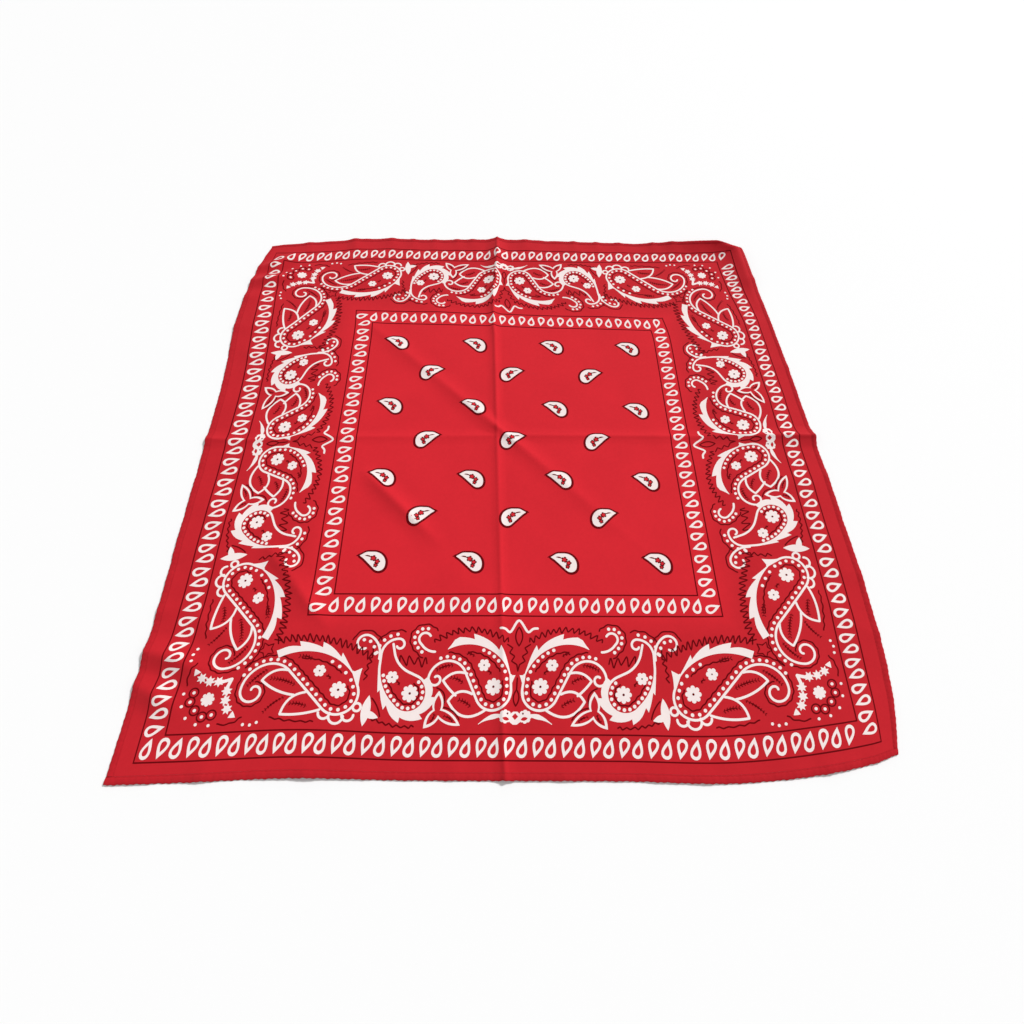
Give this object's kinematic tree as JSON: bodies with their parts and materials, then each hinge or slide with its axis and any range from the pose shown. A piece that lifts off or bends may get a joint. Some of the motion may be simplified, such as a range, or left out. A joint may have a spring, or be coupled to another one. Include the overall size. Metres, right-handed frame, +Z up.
{
  "type": "bandana",
  "caption": "Square cotton bandana laid flat, printed with a paisley border between teardrop frames and small paisleys in the middle, with narrow turned hems and old fold lines.",
  "frame": {"origin": "on the table, under the middle of the laid cloth's own box", "axes": "+Z up out of the printed face, +Y to the far hem, +X to the right hem"},
  "size_m": [0.5566, 0.5496, 0.0111],
  "materials": {
    "printed_cotton": "plain weave red cotton, matt with a faint sheen",
    "hem_cotton": "the same cotton turned over twice and stitched",
    "white_print": "off-white textile print, matt",
    "dark_print": "near-black red outline print, matt",
    "sewing_thread": "red cotton sewing thread"
  },
  "bodies": {
    "root": {"cloth": "printed_cotton", "hem_near": "hem_cotton", "hem_far": "hem_cotton", "hem_left": "hem_cotton", "hem_right": "hem_cotton"}
  },
  "joints": []
}
